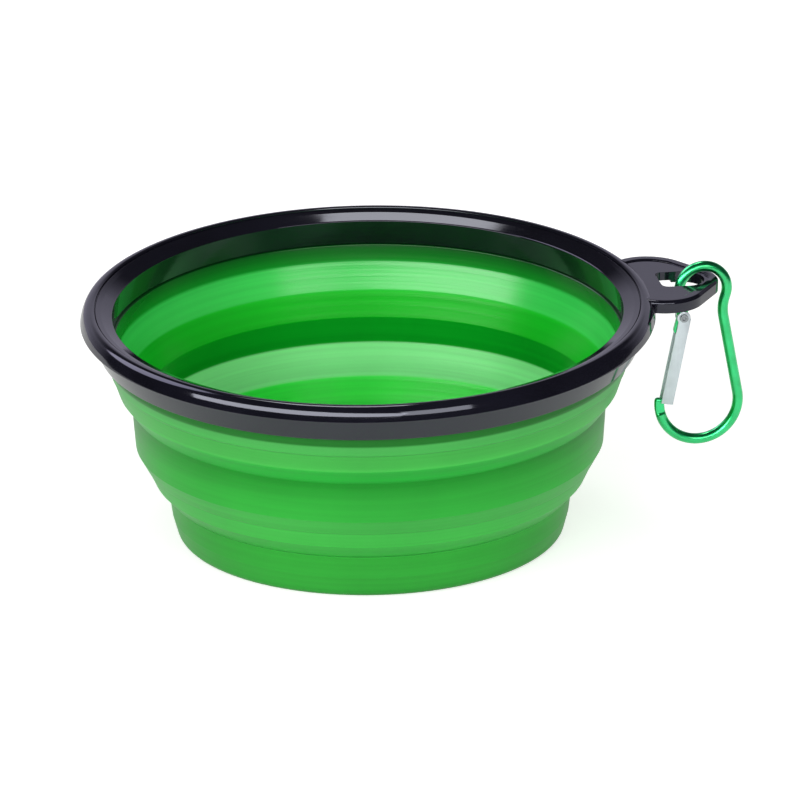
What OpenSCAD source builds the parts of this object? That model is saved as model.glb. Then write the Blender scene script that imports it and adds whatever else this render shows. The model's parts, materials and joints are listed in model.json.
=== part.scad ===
// Collapsible travel bowl for pets, with a carrying tab on its rim and a small snap hook.
// Origin: centre of the underside. +Z is up, +X points along the carrying tab.

/* [Rim frame] */
// Outside diameter of the rim bead
rim_d = 130; // [120:1:140]
// Diameter of the round bead that runs round the rim
bead_d = 3.9; // [3:0.1:4.4]
// Width of the rim from its outside to the mouth
rim_w = 7.3; // [7:0.1:9]
// How far the lip's inner edge lies below the top of the bead
lip_drop = 1.75; // [1:0.05:2.4]
// Height of the lip's inner wall
lip_h = 5.4; // [3.5:0.1:6]
// Wall of the inner lip
lip_t = 1.1; // [0.9:0.05:1.3]
// How far the skirt's lower edge stands in from the rim's outside
skirt_inset = 4; // [3.4:0.1:4.4]
// Wall of the skirt at its lower edge
skirt_t = 1.3; // [1:0.05:1.5]
// Width of the fine groove between bead and lip
groove_w = 0.6; // [0.3:0.05:0.9]
// Depth of that groove
groove_depth = 0.5; // [0.3:0.05:0.8]

/* [Carrying tab] */
// How far the tab reaches beyond the rim
tab_reach = 16.2; // [15:0.1:18]
// Greatest width of the tab, near the rim
tab_root_w = 30; // [28:0.2:33]
// Radius of the tab's rounded end
tab_tip_r = 6.6; // [6:0.1:7.2]
// Radius of the tab's shoulders
shoulder_r = 10; // [9:0.5:12]
// Slope of the tab's sides towards its end
side_slope = 54; // [51:1:56]
// Height of the tab's outer edge
tab_edge_h = 2.9; // [2.4:0.1:3.4]
// How far the tab's top lies below the top of the bead where it leaves the rim
tab_drop = 0.1; // [0.05:0.05:0.6]
// Fall of the tab towards its end, in degrees
tab_droop = 3; // [1:0.25:4]
// Width of the raised border on the tab
border_w = 1.4; // [1:0.1:1.8]
// How far the tab's face lies below its border
face_depth = 0.35; // [0.2:0.05:0.5]
// Thickness of the tab's plate under its face
plate_t = 1.5; // [1.2:0.1:1.8]
// Width of the slot
slot_w = 9.2; // [8.2:0.1:9.6]
// Distance from the rim's outside to the slot
slot_in = 2.5; // [2:0.1:3.4]
// Width of the bar left between the slot and the tab's end
bar_w = 3.2; // [2.8:0.1:3.6]
// Length of the tab's end that is solid through its whole depth
tab_end_l = 9.7; // [8:0.1:11]
// Bevel on the tab's upper outer edge
tab_bevel = 0.8; // [0.7:0.05:1]

/* [Moulded bowl] */
// How far the collar stands in from the rim's outside
collar_inset = 5.8; // [5.6:0.1:6.2]
// How far the middle ring stands in from the collar
upper_step = 5.5; // [5:0.1:6.2]
// How far the base stands in from the middle ring's lower edge
lower_step = 7.3; // [6.5:0.1:8]
// Height of the collar that shows under the skirt
collar_h = 1.9; // [1.5:0.1:2.5]
// Height of the upper fold
upper_fold_h = 11.3; // [10.5:0.1:12]
// Height of the middle ring
middle_h = 9.9; // [9:0.1:11]
// Height of the lower fold
lower_fold_h = 11.2; // [10.5:0.1:12]
// Height of the base ring
base_h = 10.4; // [9.5:0.1:12]
// Height of the rim frame above the collar
rim_h = 9.15; // [8.6:0.05:9.6]
// Wall of the stiff rings at their upper edge
ring_t = 2.8; // [2.2:0.1:3.2]
// Wall of the folds at their creases, measured level
fold_t = 3.1; // [2.4:0.1:3.4]
// Thickened foot inside the middle ring's lower edge
ring_foot_t = 1.1; // [0.6:0.1:1.6]
// Draft of the middle ring over its height
middle_draft = 0.9; // [0.4:0.1:1.4]
// Draft of the base ring over its height
base_draft = 2.2; // [1:0.1:3]
// Radius of the rounded edge under the base
foot_r = 2; // [1.4:0.1:2.4]
// Thickness of the bowl's floor
floor_t = 2.4; // [1.8:0.1:3]
// Radius inside, between floor and wall
floor_r = 4; // [3:0.1:5]

/* [Snap hook] */
// Diameter of the hook's wire
wire_d = 2.4; // [2.2:0.05:2.5]
// Radius of the upper bend, at the wire's centre
hook_r = 5.5; // [5.4:0.05:5.7]
// Radius of the bend at the waist, curving the other way
waist_r = 10; // [8:0.5:12]
// Radius of the wide lower bend
bow_r = 9.1; // [8.8:0.05:9.4]
// Drop from the upper bend's centre to the lower bend's centre
bow_drop = 26.9; // [26:0.1:28]
// How far the lower bend's centre lies towards the bowl
bow_shift = 1.45; // [1.2:0.05:1.7]
// Lean of the straight back away from upright
back_lean = 9; // [8:0.5:10]
// Turn of the upper bend past level, into the leg
leg_lean = 7; // [5:0.5:8]
// Straight leg from the upper bend to the rivet
leg_l = 5.6; // [5.4:0.1:6.2]
// Thickness of the flattened leg and nose
tang_t = 1.36; // [1.2:0.02:1.4]

/* [Gate] */
// Width of the gate across its flat side
gate_w = 2.8; // [2.6:0.1:3]
// Thickness of the sheet that the gate is bent from
sheet_t = 0.45; // [0.35:0.05:0.48]
// Length of the gate below the rivet
gate_l = 20.8; // [20.3:0.1:21]
// Lean of the closed gate away from upright
gate_lean = 12.5; // [12:0.25:13]
// Diameter of the rivet's shank
rivet_d = 0.9; // [0.8:0.05:1]
// Diameter of the rivet's heads
rivet_head_d = 1.9; // [1.6:0.1:2.1]
// Diameter of the spring's wire
spring_d = 0.4; // [0.3:0.05:0.45]

/* [Hidden] */
$fn = 96;

// Clearances and the one overrun that all cuts share
seat_gap = 0.05;
running_gap = 0.04;
rest_gap = 0.12;
slide_gap = 0.07;
cut_over = 1;

// Heights of the bowl's steps above the table
base_top = base_h;
middle_foot = base_top + lower_fold_h;
middle_top = middle_foot + middle_h;
collar_foot = middle_top + upper_fold_h;
skirt_foot = collar_foot + collar_h;
rim_top = collar_foot + rim_h + collar_h;

// Radii of the rings, outside and inside, where they meet the folds
collar_wall = 2.6;
collar_r = rim_d / 2 - collar_inset;
collar_bore_r = collar_r - collar_wall;
middle_r = collar_r - upper_step;
middle_foot_r = middle_r - middle_draft;
middle_bore_r = middle_r - ring_t;
middle_foot_bore_r = middle_foot_r - ring_t - ring_foot_t;
base_r = middle_foot_r - lower_step;
base_bore_r = base_r - ring_t;

// Step between the rim's lip and the collar's bore, and the shape of the rings' walls
bore_step = 0.5;
undercut = 0.1;
foot_rise = 3.8;
middle_shoulder_shares = [0.25, 0.17];
base_waist_shares = [0.33, 0.5];

// Creases of the folds: where they lie, and how the inner crease stands to the outer one
upper_crease_share = 0.33;
lower_crease_share = 0.32;
crease_out_share = 0.51;
crease_tuck = 0.4;
crease_pull = 0.6;
crease_lift = 1.75;

// Rim sizes that follow from the driving ones
bead_r = bead_d / 2;
bead_ring_r = rim_d / 2 - bead_r;
bead_z = rim_top - bead_r;
mouth_r = rim_d / 2 - rim_w;
lip_top = rim_top - lip_drop;
lip_foot = lip_top - lip_h;
lip_bevel = 0.25;
groove_in = 1.25;
groove_ring_r = bead_ring_r - groove_in;
groove_fall = 0.4;
groove_z = rim_top - groove_fall;
skirt_r = rim_d / 2 - skirt_inset;
skirt_step = 0.8;
skirt_top_r = bead_ring_r + skirt_step;
tongue_t = 1.5;
tongue_h = 3.7;
tongue_r = mouth_r + lip_t;
channel_r = tongue_r + tongue_t + seat_gap;
channel_top = lip_foot + tongue_h;
channel_step = 0.6;

// Tab sizes that follow from the driving ones
root_lap_share = 0.65;
tab_top = rim_top - tab_drop;
tab_foot = tab_top - tab_edge_h;
tab_face = tab_top - face_depth;
tip_x = rim_d / 2 + tab_reach;
tip_centre_x = tip_x - tab_tip_r;
tab_root_x = bead_ring_r - bead_d * root_lap_share;
tab_joint_share = 0.6;
tab_split_x = rim_d / 2 + tab_joint_share * slot_in;
slot_end_x = tip_x - bar_w;
slot_start_x = rim_d / 2 + slot_in;
slot_l = slot_end_x - slot_start_x;
slot_corner_r = 1.6;
bevel_step_share = 0.35;
side_lap = 0.02;
side_normal = [sin(side_slope), cos(side_slope)];
shoulder_y = tab_root_w / 2 - shoulder_r;
shoulder_x = tip_centre_x
    + (tab_tip_r - shoulder_r - side_normal[1] * shoulder_y) / side_normal[0];

// Hook sizes: its own plane has x away from the bowl and y up, zero at the upper bend's centre
wire_r = wire_d / 2;
hook_bore_r = hook_r - wire_r;
hook_sink = 2.9;
tab_bevel_run = 0.35;
bar_top = tab_top - (tip_x - tab_bevel - bead_ring_r) * tan(tab_droop);
hook_x = tip_x - tab_bevel - sqrt(pow(hook_bore_r - rest_gap, 2) - pow(hook_sink, 2)) + tab_bevel_run;
hook_z = bar_top - hook_sink;
bow_centre = [-bow_shift, -bow_drop];
back_normal = [cos(back_lean), sin(back_lean)];
back_run = [sin(back_lean), -cos(back_lean)];
back_foot = bow_centre + bow_r * back_normal;
back_offset = back_foot * back_normal;
waist_turn = acos((back_offset + waist_r) / (hook_r + waist_r));
hook_stop = back_lean - waist_turn;
waist_centre = (hook_r + waist_r) * [cos(hook_stop), sin(hook_stop)];
back_top = waist_centre - waist_r * back_normal;
leg_start = 180 + leg_lean;
leg_top = hook_r * [cos(leg_start), sin(leg_start)];
leg_run = [sin(leg_lean), -cos(leg_lean)];
rivet_at = leg_top + leg_l * leg_run;
flat_above_rivet = 1.95;
flat_lap = 0.25;
flat_spread = 0.15;
flat_r = wire_r + flat_spread;
leg_end = rivet_at - (flat_above_rivet - flat_lap) * leg_run;
gate_shift = 0.3;
gate_foot = rivet_at + gate_shift * [cos(gate_lean), -sin(gate_lean)]
    - gate_l * [sin(gate_lean), cos(gate_lean)] - bow_centre;
gate_foot_angle = 180 + atan(gate_foot[1] / gate_foot[0]);
nose_below_gate = 2.6;
nose_l = 3.8;
nose_lap = 3;
nose_trim = 0.1;
nose_full = gate_foot_angle + nose_below_gate / bow_r * 180 / PI;
nose_tip = nose_full - nose_l / bow_r * 180 / PI;
notch_w = 0.6;
notch_in_share = 0.6;
joint_lap = 0.02;
joint_l = 0.1;
heel_r = 0.75;
heel_in = 0.8;
heel_drop = 3.3;

// Gate sizes: its own plane has its zero at the rivet and y up along the gate
ear_r = 1.55;
web_drop = 2.4;
catch_l = 1.2;
catch_in = 0.1;
rivet_head_h = 0.3;
rivet_dimple_d = 0.8;
rivet_dimple_depth = 0.2;
spring_top = 4;
spring_foot = 14;
spring_reach = 0.45;
spring_rise = 0.4;

// Points on an arc in a profile, from one angle to another
function arc_points(centre, r, from, to, steps = 8) =
    [for (i = [0:steps]) centre + r * [cos(from + (to - from) * i / steps),
                                       sin(from + (to - from) * i / steps)]];

// Turned solid from a profile of [radius, height] points
module turned(points) {
    rotate_extrude()
        polygon(points);
}

// Rim frame: glossy bead, sloping lip and skirt, with a channel below for the bowl's tongue
module rim_profile() {
    difference() {
        union() {
            translate([bead_ring_r, bead_z])
                circle(r = bead_r);
            polygon([
                [mouth_r, lip_foot],
                [mouth_r, lip_top - lip_bevel],
                [mouth_r + lip_bevel, lip_top],
                [groove_ring_r - groove_w / 2, groove_z],
                [groove_ring_r, groove_z - groove_depth],
                [groove_ring_r + groove_w / 2, groove_z],
                [bead_ring_r, bead_z],
                [skirt_top_r, bead_z - bead_r],
                [skirt_r, skirt_foot],
                [skirt_r - skirt_t, skirt_foot]
            ]);
        }
        polygon([
            [tongue_r, skirt_foot - cut_over],
            [tongue_r, channel_top],
            [channel_r, channel_top],
            [channel_r, lip_foot + channel_step],
            [skirt_r - skirt_t, lip_foot],
            [skirt_r - skirt_t, skirt_foot - cut_over]
        ]);
        translate([0, skirt_foot - cut_over])
            square([tongue_r, lip_foot - skirt_foot + cut_over]);
    }
}

// Outline of the tab seen from above, drawn in by an inset on all sides
module tab_outline(inset = 0) {
    tip_r = tab_tip_r - inset;
    side_r = shoulder_r - inset;
    tip_side = (tip_r - side_lap) * side_normal;
    shoulder_side = (side_r - side_lap) * side_normal;
    intersection() {
        union() {
            translate([tip_centre_x, 0])
                circle(r = tip_r);
            for (side = [-1, 1])
                translate([shoulder_x, side * shoulder_y])
                    circle(r = side_r);
            polygon([
                [shoulder_x, shoulder_y + side_r],
                [shoulder_x, shoulder_y] + shoulder_side,
                [tip_centre_x, 0] + tip_side,
                [tip_centre_x + tip_side[0], -tip_side[1]],
                [shoulder_x + shoulder_side[0], -shoulder_y - shoulder_side[1]],
                [shoulder_x, -shoulder_y - side_r]
            ]);
        }
        translate([tab_root_x, -tab_root_w])
            square([tab_reach + rim_d / 2, 2 * tab_root_w]);
    }
}

// Slot through the tab, round at its outer end
module slot_outline() {
    slot_end_r = slot_w / 2;
    intersection() {
        translate([slot_end_x - slot_end_r, 0])
            circle(r = slot_end_r);
        translate([slot_start_x, -slot_w])
            square([slot_l + cut_over, 2 * slot_w]);
    }
    translate([slot_start_x + slot_corner_r, -slot_w / 2])
        square([slot_l - slot_corner_r - slot_end_r, slot_w]);
    translate([slot_start_x, -slot_w / 2 + slot_corner_r])
        square([slot_corner_r + seat_gap, slot_w - 2 * slot_corner_r]);
    for (side = [-1, 1])
        translate([slot_start_x + slot_corner_r, side * (slot_w / 2 - slot_corner_r)])
            circle(r = slot_corner_r);
}

// Lets the tab fall towards its end, about the line where it leaves the bead
module drooped() {
    translate([bead_ring_r, 0, tab_top])
        rotate([0, tab_droop, 0])
            translate([-bead_ring_r, 0, -tab_top])
                children();
}

// Whole tab: bordered plate with a rim below, before it is split from the frame
module tab_solid() {
    drooped()
        difference() {
            union() {
                translate([0, 0, tab_foot])
                    linear_extrude(tab_edge_h - tab_bevel)
                        tab_outline();
                translate([0, 0, tab_top - tab_bevel])
                    linear_extrude(tab_bevel / 2)
                        tab_outline(bevel_step_share * tab_bevel);
                translate([0, 0, tab_top - tab_bevel / 2])
                    linear_extrude(tab_bevel / 2)
                        tab_outline(tab_bevel);
            }
            translate([0, 0, tab_face])
                linear_extrude(face_depth + cut_over)
                    tab_outline(tab_bevel + border_w);
            translate([0, 0, tab_foot - cut_over])
                linear_extrude(tab_face - plate_t - tab_foot + cut_over)
                    difference() {
                        tab_outline(border_w);
                        translate([tip_x - tab_end_l, -tab_root_w])
                            square([tab_end_l, 2 * tab_root_w]);
                    }
            translate([0, 0, tab_foot - cut_over])
                linear_extrude(tab_edge_h + 2 * cut_over)
                    slot_outline();
        }
}

// Half space beyond the line where tab and frame are split
module beyond_split() {
    translate([tab_split_x, -tab_root_w, tab_foot - tab_edge_h])
        cube([tab_reach + cut_over, 2 * tab_root_w, 3 * tab_edge_h]);
}

module rim_frame() {
    color([0.05, 0.05, 0.06]) {
        rotate_extrude()
            rim_profile();
        difference() {
            tab_solid();
            beyond_split();
            translate([0, 0, tab_foot - cut_over])
                cylinder(r = bead_ring_r, h = tab_edge_h + 2 * cut_over);
        }
    }
}

module carry_tab() {
    color([0.05, 0.05, 0.06])
        intersection() {
            tab_solid();
            beyond_split();
        }
}

// Collar: the top of the moulded bowl, with the tongue that the rim frame grips
module collar_ring() {
    color([0.21, 0.65, 0.24])
        turned([
            [collar_bore_r, collar_foot],
            [mouth_r - bore_step, lip_foot - seat_gap],
            [tongue_r + seat_gap, lip_foot - seat_gap],
            [tongue_r + seat_gap, channel_top - seat_gap],
            [channel_r - seat_gap, channel_top - seat_gap],
            [channel_r - seat_gap, lip_foot + channel_step],
            [skirt_r - skirt_t - seat_gap, lip_foot],
            [skirt_r - skirt_t - seat_gap, skirt_foot],
            [collar_r, skirt_foot],
            [collar_r, collar_foot]
        ]);
}

// A folding cone between two rings: steeper above its crease, flatter below it
module fold(top, top_r, top_bore_r, foot, foot_r_out, foot_bore_r, crease, crease_r) {
    turned([
        [top_r, top],
        [crease_r, crease],
        [foot_r_out, foot],
        [foot_bore_r, foot],
        [crease_r - fold_t + crease_pull, crease + crease_lift],
        [top_bore_r, top]
    ]);
}

module upper_fold() {
    color([0.31, 0.69, 0.35])
        fold(
            collar_foot, collar_r, collar_bore_r, middle_top, middle_r, middle_bore_r,
            middle_top + upper_crease_share * upper_fold_h,
            middle_r + crease_out_share * (collar_r - middle_r)
        );
}

// Middle ring: stiff band whose inner lower edge is thickened
module middle_ring() {
    color([0.21, 0.65, 0.24])
        turned([
            [middle_r, middle_top],
            [middle_r - middle_shoulder_shares[0] * middle_draft,
             middle_top - middle_shoulder_shares[1] * middle_h],
            [middle_foot_r, middle_foot],
            [middle_foot_bore_r, middle_foot],
            [middle_bore_r + undercut, middle_foot + foot_rise],
            [middle_bore_r, middle_top]
        ]);
}

module lower_fold() {
    color([0.31, 0.69, 0.35])
        fold(
            middle_foot, middle_foot_r, middle_foot_bore_r, base_top, base_r, base_bore_r,
            base_top + lower_crease_share * lower_fold_h,
            base_r + crease_out_share * (middle_foot_r - base_r) - crease_tuck
        );
}

// Base: the lowest ring and the bowl's floor in one
module base_cup() {
    foot_out_r = base_r - base_draft;
    color([0.21, 0.65, 0.24])
        turned(concat(
            [[0, 0]],
            arc_points([foot_out_r - foot_r, foot_r], foot_r, -90, 0),
            [
                [base_r - base_waist_shares[0] * base_draft, base_waist_shares[1] * base_h],
                [base_r, base_top],
                [base_bore_r, base_top],
                [base_bore_r, floor_t + floor_r]
            ],
            arc_points([base_bore_r - floor_r, floor_t + floor_r], floor_r, 0, -90),
            [[0, floor_t]]
        ));
}

// Puts something drawn in the hook's own plane where the hook hangs on the tab
module at_hook() {
    translate([hook_x, 0, hook_z])
        rotate([90, 0, 0])
            children();
}

// Bend of round wire about a centre, from one angle round to another
module wire_bend(centre, r, from, to) {
    translate([centre[0], centre[1], 0])
        rotate_extrude(angle = to - from, start = from)
            translate([r, 0])
                circle(d = wire_d);
}

// Straight wire between two points of the hook's plane
module wire_straight(from, to) {
    run = to - from;
    translate([from[0], from[1], 0])
        rotate([0, 0, atan2(run[1], run[0])])
            rotate([0, 90, 0])
                cylinder(d = wire_d, h = norm(run));
}

// Thin sleeve that joins two stretches of wire end to end
module wire_joint(at, run) {
    translate([at[0], at[1], 0])
        rotate([0, 0, atan2(run[1], run[0])])
            rotate([0, 90, 0])
                cylinder(d = wire_d + joint_lap, h = joint_l, center = true);
}

// Flat end of the leg, drilled for the rivet, with a heel for the spring
module tang_outline() {
    translate([rivet_at[0], rivet_at[1]]) {
        circle(r = flat_r);
        rotate(leg_lean)
            translate([-flat_r, 0])
                square([2 * flat_r, flat_above_rivet]);
        rotate(-gate_lean) {
            translate([-heel_in, -heel_drop])
                circle(r = heel_r);
            polygon([
                [-wire_r, 0],
                [0, 0],
                [heel_r - heel_in, -heel_drop],
                [-heel_r - heel_in, -heel_drop]
            ]);
        }
    }
}

module hook_body() {
    color([0.12, 0.72, 0.38])
        at_hook()
            difference() {
                union() {
                    wire_bend([0, 0], hook_r, hook_stop, leg_start);
                    wire_bend(waist_centre, waist_r, 180 + hook_stop, 180 + back_lean);
                    wire_straight(back_top, back_foot);
                    wire_bend(bow_centre, bow_r, nose_full - 360, back_lean);
                    wire_straight(leg_top, leg_end);
                    wire_joint(hook_r * [cos(hook_stop), sin(hook_stop)], [sin(hook_stop), -cos(hook_stop)]);
                    wire_joint(back_top, back_run);
                    wire_joint(back_foot, back_run);
                    wire_joint(leg_top, leg_run);
                    linear_extrude(tang_t, center = true)
                        tang_outline();
                    translate([bow_centre[0], bow_centre[1], 0])
                        rotate_extrude(angle = nose_full + nose_lap - nose_tip, start = nose_tip)
                            translate([bow_r, 0])
                                square([wire_d - nose_trim, tang_t], center = true);
                }
                translate([rivet_at[0], rivet_at[1], -wire_r])
                    cylinder(d = rivet_d + 2 * running_gap, h = wire_d);
                translate([bow_centre[0], bow_centre[1], 0])
                    rotate(nose_full)
                        translate([bow_r - wire_r - cut_over, -notch_w, -wire_r - cut_over])
                            cube([notch_in_share * wire_d + cut_over, notch_w, wire_d + 2 * cut_over]);
            }
}

// Puts something drawn in the gate's own plane where the gate is riveted
module at_gate() {
    at_hook()
        translate([rivet_at[0], rivet_at[1], 0])
            rotate(-gate_lean)
                children();
}

// Flat side of the gate's channel, with its ear round the rivet
module cheek_outline() {
    difference() {
        union() {
            circle(r = ear_r);
            translate([gate_shift - gate_w / 2, -gate_l])
                square([gate_w, gate_l]);
        }
        circle(d = rivet_d + 2 * running_gap);
    }
}

// Folded foot of the gate, cut clear of the hook's nose that rests against it
module gate_catch(web_x) {
    difference() {
        translate([-catch_in, -gate_l, -wire_r])
            cube([web_x + catch_in + sheet_t, catch_l, wire_d]);
        rotate(gate_lean)
            translate([bow_centre[0] - rivet_at[0], bow_centre[1] - rivet_at[1], -wire_r - cut_over])
                difference() {
                    cylinder(r = bow_r + wire_r + seat_gap, h = wire_d + 2 * cut_over);
                    cylinder(r = bow_r - wire_r - seat_gap, h = wire_d + 2 * cut_over);
                }
    }
}

module hook_gate() {
    web_x = gate_shift + gate_w / 2 - sheet_t;
    color([0.78, 0.82, 0.84])
        at_gate() {
            for (side = [-wire_r, wire_r - sheet_t])
                translate([0, 0, side])
                    linear_extrude(sheet_t)
                        cheek_outline();
            translate([web_x, -gate_l, -wire_r])
                cube([sheet_t, gate_l - web_drop, wire_d]);
            gate_catch(web_x);
        }
}

module gate_rivet() {
    head_z = wire_r + slide_gap;
    color([0.6, 0.64, 0.66])
        at_gate()
            difference() {
                union() {
                    translate([0, 0, -head_z])
                        cylinder(d = rivet_d, h = 2 * head_z);
                    for (side = [-head_z - rivet_head_h, head_z])
                        translate([0, 0, side])
                            cylinder(d = rivet_head_d, h = rivet_head_h);
                }
                for (side = [-1, 1])
                    translate([0, 0, side * (head_z + rivet_head_h) - rivet_dimple_depth])
                        cylinder(d = rivet_dimple_d, h = 2 * rivet_dimple_depth);
            }
}

// Spring: a wire along the inside of the gate's back, bent over to the hook's heel
module gate_spring() {
    spring_x = gate_shift + gate_w / 2 - sheet_t - seat_gap - spring_d / 2;
    bend_from = [spring_x, -spring_top];
    bend_to = bend_from + [-spring_reach, spring_rise];
    color([0.7, 0.72, 0.74])
        at_gate() {
            translate([spring_x, -spring_foot, 0])
                rotate([-90, 0, 0])
                    cylinder(d = spring_d, h = spring_foot - spring_top);
            translate([bend_from[0], bend_from[1], 0])
                sphere(d = spring_d + seat_gap);
            translate([bend_from[0], bend_from[1], 0])
                rotate([0, 0, atan2(spring_rise, -spring_reach)])
                    rotate([0, 90, 0])
                        cylinder(d = spring_d, h = norm(bend_to - bend_from));
        }
}

rim_frame();
carry_tab();
collar_ring();
upper_fold();
middle_ring();
lower_fold();
base_cup();
hook_body();
hook_gate();
gate_rivet();
gate_spring();
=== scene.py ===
import json
import math

import bmesh
import bpy
from mathutils import Matrix, Vector


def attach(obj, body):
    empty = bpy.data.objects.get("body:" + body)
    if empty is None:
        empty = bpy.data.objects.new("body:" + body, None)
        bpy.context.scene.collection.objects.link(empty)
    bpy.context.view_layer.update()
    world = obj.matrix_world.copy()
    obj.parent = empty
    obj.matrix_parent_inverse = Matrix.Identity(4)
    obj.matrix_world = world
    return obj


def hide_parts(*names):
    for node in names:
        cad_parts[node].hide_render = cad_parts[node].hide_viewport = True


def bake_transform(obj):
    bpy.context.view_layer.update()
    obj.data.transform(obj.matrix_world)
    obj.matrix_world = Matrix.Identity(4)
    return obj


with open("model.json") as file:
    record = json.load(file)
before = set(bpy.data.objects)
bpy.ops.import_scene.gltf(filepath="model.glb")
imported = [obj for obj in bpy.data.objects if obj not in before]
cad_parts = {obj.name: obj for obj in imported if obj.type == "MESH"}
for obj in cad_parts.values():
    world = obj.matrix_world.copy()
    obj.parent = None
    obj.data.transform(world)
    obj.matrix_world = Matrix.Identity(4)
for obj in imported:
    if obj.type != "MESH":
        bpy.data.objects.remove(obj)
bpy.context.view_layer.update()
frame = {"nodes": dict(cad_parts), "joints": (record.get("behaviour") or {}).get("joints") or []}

# Rim frame
# One glossy black injection moulding: a round bead, a fine groove, a lip that slopes to the
# mouth, and a skirt below. It snaps over the bowl's collar. Its outer faces are polished.

# Sizes in mm: radii from the bowl's axis, heights from the table
MM = 0.001
RIM_R = 65.0
RIM_TOP = 53.84
BEAD_RING_R = 63.05
MOUTH_R = 57.7
LIP_TOP = 52.1
LIP_FOOT = 46.7
GROOVE_R = 61.8
GROOVE_HALF = 0.3
GROOVE_TOP = 53.45
GROOVE_FLOOR = 52.9
CROWN = (60.3, 53.14)
SKIRT_TOP_R = 63.72
SKIRT_TOP = 50.15
SKIRT_R = 61.0
SKIRT_FOOT = 44.7
SKIRT_WALL = 1.3
TURN_STEPS = 256
MOULD_CREASE = 50
FILLET_SUPPORT = 0.1

# The bead's section, from its groove over the top to its lower edge: the angle in degrees at
# which it starts, then its arcs, each as radius in mm, last angle and steps.
BEAD_START = 112
BEAD_ARCS = [(1.97, 25.5, 18), (6.28, 17, 5), (1.2, 15, 2), (24.8, 12, 4), (0.25, -60, 6)]


def rounded(corners, longest=2.5, arc_steps=5):
    """Outline in the radius-height plane through (radius, height, fillet) corners, all in mm.
    An arc turns each corner that has a fillet, between two support points that keep the flats
    beside it even, and no stretch between corners is longer than the given length."""
    outline = []
    for i, (r, z, fillet) in enumerate(corners):
        here = Vector((r, z))
        before = Vector(corners[i - 1][:2])
        after = Vector(corners[(i + 1) % len(corners)][:2])
        if fillet <= 0:
            turn = [here]
        else:
            back, on = (before - here).normalized(), (after - here).normalized()
            half = back.angle(on) / 2
            start, end = here + back * fillet / math.tan(half), here + on * fillet / math.tan(half)
            centre = here + (back + on).normalized() * fillet / math.sin(half)
            spoke_a, spoke_b = start - centre, end - centre
            turn = [centre + spoke_a.normalized().slerp(spoke_b.normalized(), k / arc_steps) * fillet
                    for k in range(arc_steps + 1)]
            support = min(fillet, FILLET_SUPPORT)
            turn = [start + back * support] + turn + [end + on * support]
        if outline:
            gap = (turn[0] - outline[-1]).length
            parts = max(1, math.ceil(gap / longest))
            outline += [outline[-1].lerp(turn[0], k / parts) for k in range(1, parts)]
        outline += turn
    gap = (outline[0] - outline[-1]).length
    parts = max(1, math.ceil(gap / longest))
    last, first = outline[-1].copy(), outline[0].copy()
    if first.x > 0 or last.x > 0:
        outline += [last.lerp(first, k / parts) for k in range(1, parts)]
    return outline


def finished(name, bm, sharp=35):
    """Makes an object of a bmesh, with edges that turn by more than an angle in degrees kept
    crisp."""
    bmesh.ops.recalc_face_normals(bm, faces=bm.faces)
    mesh = bpy.data.meshes.new(name)
    bm.to_mesh(mesh)
    bm.free()
    mesh.shade_smooth()
    mesh.set_sharp_from_angle(angle=math.radians(sharp))
    piece = bpy.data.objects.new(name, mesh)
    bpy.context.scene.collection.objects.link(piece)
    return piece


def turned(name, outline):
    """Closed solid of revolution about Z from an outline of (radius, height) points in mm."""
    bm = bmesh.new()
    ring = [bm.verts.new((p.x * MM, 0, p.y * MM)) for p in outline]
    on_axis = outline[0].x == 0 and outline[-1].x == 0
    pairs = list(zip(ring, ring[1:])) + ([] if on_axis else [(ring[-1], ring[0])])
    edges = [bm.edges.new(pair) for pair in pairs]
    bmesh.ops.spin(bm, geom=ring + edges, cent=(0, 0, 0), axis=(0, 0, 1), dvec=(0, 0, 0),
                   angle=math.tau, steps=TURN_STEPS, use_merge=True)
    bmesh.ops.remove_doubles(bm, verts=bm.verts, dist=1e-7)
    return finished(name, bm, sharp=MOULD_CREASE)


def on_circle(centre, radius, degrees):
    """Place on a circle in an upright plane, in mm, as (x outwards, z up)."""
    turn = math.radians(degrees)
    return Vector((centre[0] + radius * math.cos(turn), centre[1] + radius * math.sin(turn)))


def bead_corners():
    """Corners of the bead's section. Each arc runs on smoothly from the one before it, and the
    last one reaches out to the rim's full radius."""
    radius, start = BEAD_ARCS[0][0], BEAD_START
    centre = Vector((0, RIM_TOP - radius))
    places = [on_circle(centre, radius, start)]
    for next_radius, end, steps in BEAD_ARCS:
        centre = on_circle(centre, radius - next_radius, start)
        radius = next_radius
        places += [on_circle(centre, radius, start + (end - start) * k / steps)
                   for k in range(1, steps + 1)]
        start = end
    outwards = RIM_R - radius - centre.x
    return [(place.x + outwards, place.y, 0) for place in places]


def new_material(name):
    """New node material: the material, its shader, a helper that adds nodes, and its links."""
    material = bpy.data.materials.new(name)
    material.use_nodes = True
    nodes, links = material.node_tree.nodes, material.node_tree.links
    shader = nodes["Principled BSDF"]

    def add(kind, inputs=(), **settings):
        node = nodes.new(kind)
        for key, value in settings.items():
            setattr(node, key, value)
        for socket, value in dict(inputs).items():
            if isinstance(value, bpy.types.NodeSocket):
                links.new(value, node.inputs[socket])
            else:
                node.inputs[socket].default_value = value
        return node

    return material, shader, add, links


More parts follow.
